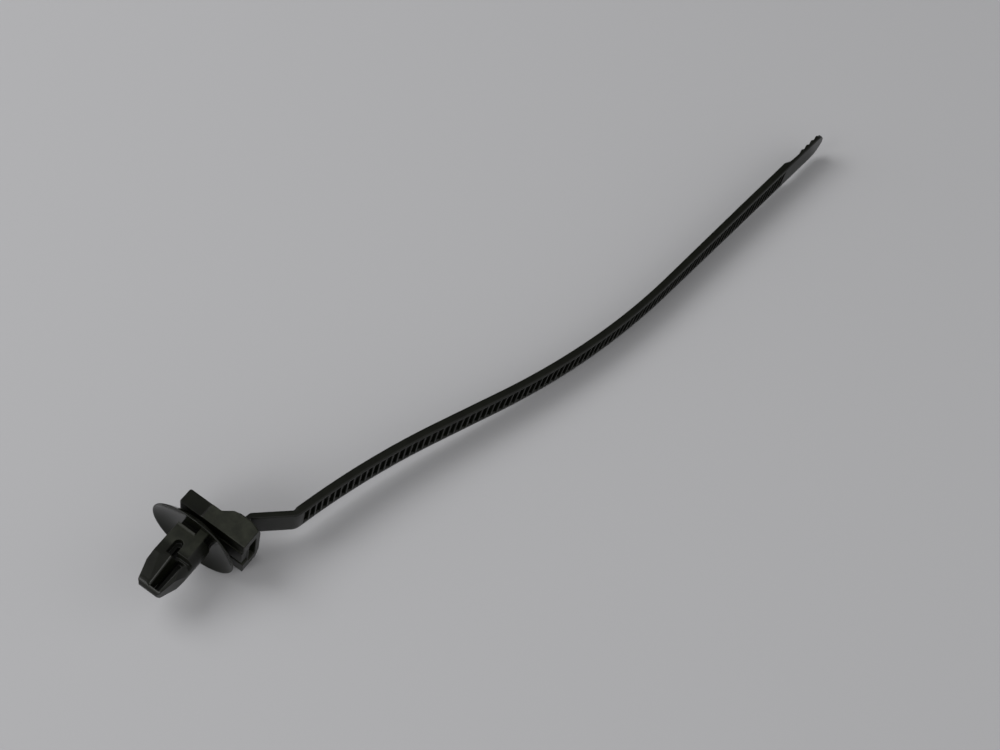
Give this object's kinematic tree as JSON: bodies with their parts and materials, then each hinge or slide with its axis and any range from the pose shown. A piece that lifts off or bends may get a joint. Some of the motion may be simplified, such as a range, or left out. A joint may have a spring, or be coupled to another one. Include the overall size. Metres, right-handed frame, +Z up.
{
  "type": "wire harness clip",
  "caption": "One-piece black nylon cable tie with a toothed strap, a strap head with inner pawl, a thin dished sealing disc and a push-in panel anchor.",
  "frame": {"origin": "centre of the bounding box, on the table plane", "axes": "+X along the strap from the head to the tip, +Z up from the table, +Y across"},
  "size_m": [0.1644, 0.0184, 0.016],
  "materials": {
    "black_nylon": "satin as-moulded black nylon"
  },
  "bodies": {
    "root": {"harness_clip": "black_nylon"}
  },
  "joints": []
}
